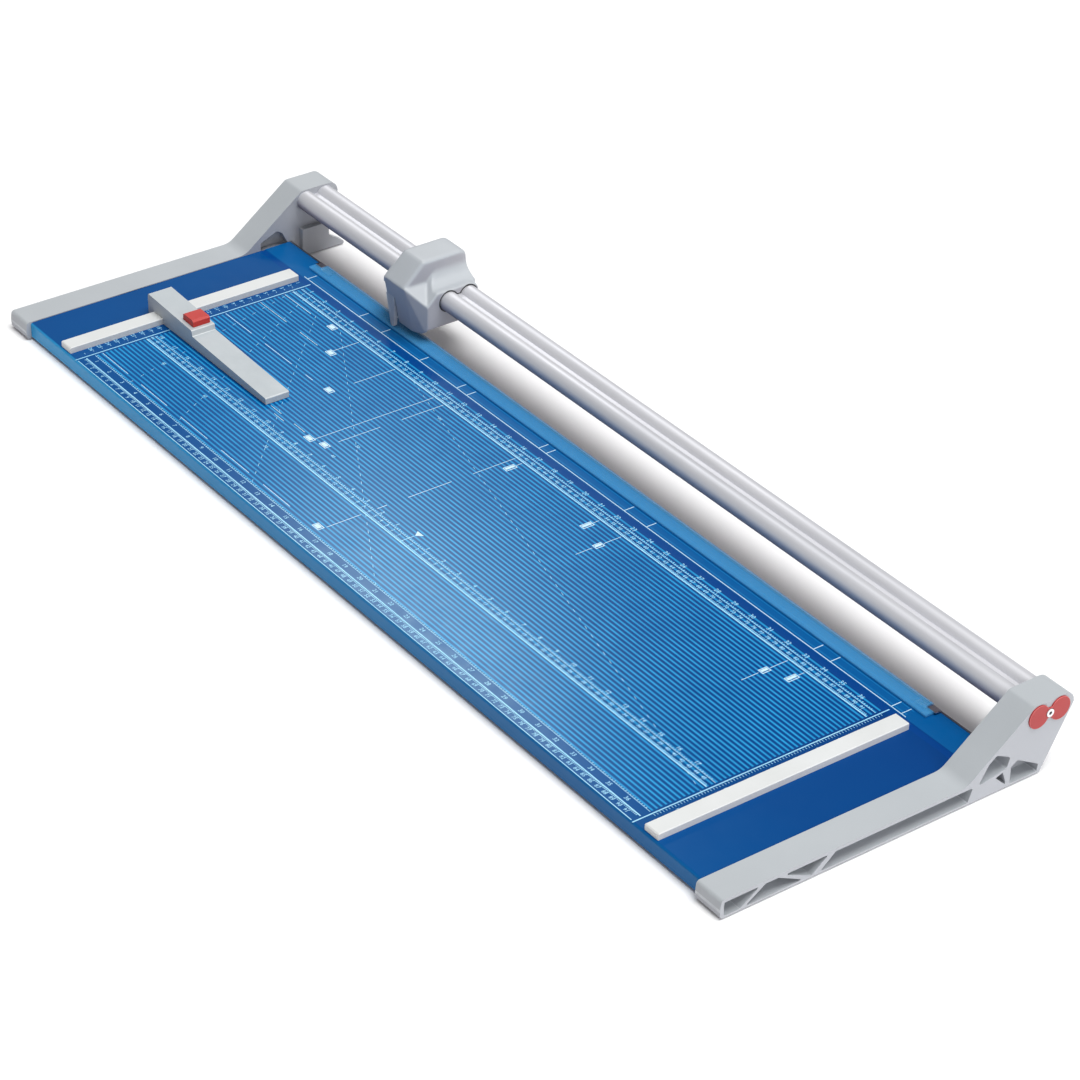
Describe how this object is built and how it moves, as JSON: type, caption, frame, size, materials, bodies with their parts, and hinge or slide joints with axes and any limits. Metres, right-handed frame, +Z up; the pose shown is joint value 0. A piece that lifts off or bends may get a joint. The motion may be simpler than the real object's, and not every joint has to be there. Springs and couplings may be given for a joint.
{
  "type": "rotary paper trimmer",
  "caption": "Long rotary paper trimmer: printed blue table between end frames, twin-tube guide rail, sliding cutting head with round blade, clear clamp strip and a sliding backstop.",
  "frame": {"origin": "centre of the footprint, on the desk plane under the rubber feet", "axes": "+X along the cut to the right end, +Y from the operator to the rear edge, +Z up"},
  "size_m": [1.1592, 0.3789, 0.1],
  "materials": {
    "table_blue": "satin printed powder coat",
    "galvanised": "galvanised sheet",
    "counter_steel": "ground",
    "screw_steel": "zinc plated",
    "clear_strip": "clear",
    "spring_steel": "spring steel",
    "frame_grey": "fine grained",
    "foot_rubber": "matt",
    "tube_aluminium": "satin anodised",
    "cap_red": "semi gloss",
    "cap_screw": "bright",
    "rail_white": "smooth",
    "head_grey": "smooth satin",
    "glide_dark": "low friction",
    "carrier_grey": "die cast, plain",
    "hub_dark": "smooth",
    "blade_steel": "polished",
    "stop_grey": "fine grained",
    "button_red": "semi gloss",
    "lock_orange": "smooth"
  },
  "bodies": {
    "base": {"table_plate": "table_blue", "table_stiffener": "galvanised", "counter_blade": "counter_steel", "counter_blade_screws": "screw_steel", "strip_spring_left": "spring_steel", "strip_spring_right": "spring_steel", "end_frame_left": "frame_grey", "end_frame_right": "frame_grey", "rubber_feet": "foot_rubber", "table_screws": "screw_steel", "guide_rail": "tube_aluminium", "end_cap_left": "cap_red", "end_cap_right": "cap_red", "rail_screw_left": "cap_screw", "rail_screw_right": "cap_screw", "paper_rail_left": "rail_white", "paper_rail_right": "rail_white", "paper_rail_screws": "screw_steel"},
    "strip": {"clamp_strip": "clear_strip"},
    "head": {"head_housing": "head_grey", "head_glide_left": "glide_dark", "head_glide_right": "glide_dark", "blade_carrier": "carrier_grey", "carrier_screws": "screw_steel", "pressure_shoe": "head_grey", "blade_axle": "screw_steel", "blade_nut": "screw_steel", "blade_spring": "spring_steel"},
    "blade": {"blade_hub": "hub_dark", "blade_clamp_ring": "hub_dark", "round_blade": "blade_steel"},
    "backstop": {"backstop_body": "stop_grey", "backstop_spring": "spring_steel", "backstop_plate": "galvanised", "backstop_plate_screws": "screw_steel"},
    "button": {"backstop_button": "button_red"},
    "lock": {"lock_shoe": "lock_orange"}
  },
  "joints": [
    {"name": "head_slide", "type": "slide", "parent": "base", "child": "head", "axis": [1, 0, 0], "range_m": [-0.178, 0.822]},
    {"name": "blade_spin", "type": "hinge", "parent": "head", "child": "blade", "pos_m": [-0.322, 0.12825, 0.039], "axis": [0, 1, 0], "continuous": true},
    {"name": "strip_press", "type": "slide", "parent": "base", "child": "strip", "axis": [0, 0, -1], "range_m": [0, 0.0011], "stiffness_N_per_m": 2000, "springref_m": -0.001},
    {"name": "backstop_slide", "type": "slide", "parent": "base", "child": "backstop", "axis": [0, 1, 0], "range_m": [-0.104, 0.133]},
    {"name": "button_press", "type": "slide", "parent": "backstop", "child": "button", "axis": [0, 0, -1], "range_m": [0, 0.0025], "stiffness_N_per_m": 800, "springref_m": -0.001, "deforming": ["backstop_spring"]},
    {"name": "lock_release", "type": "slide", "parent": "backstop", "child": "lock", "axis": [1, 0, 0], "range_m": [0, 0.00125]}
  ],
  "couplings": [
    {"joint": "blade_spin", "follows": "head_slide", "rad_per_m": 40},
    {"joint": "lock_release", "follows": "button_press", "ratio": 0.5}
  ]
}
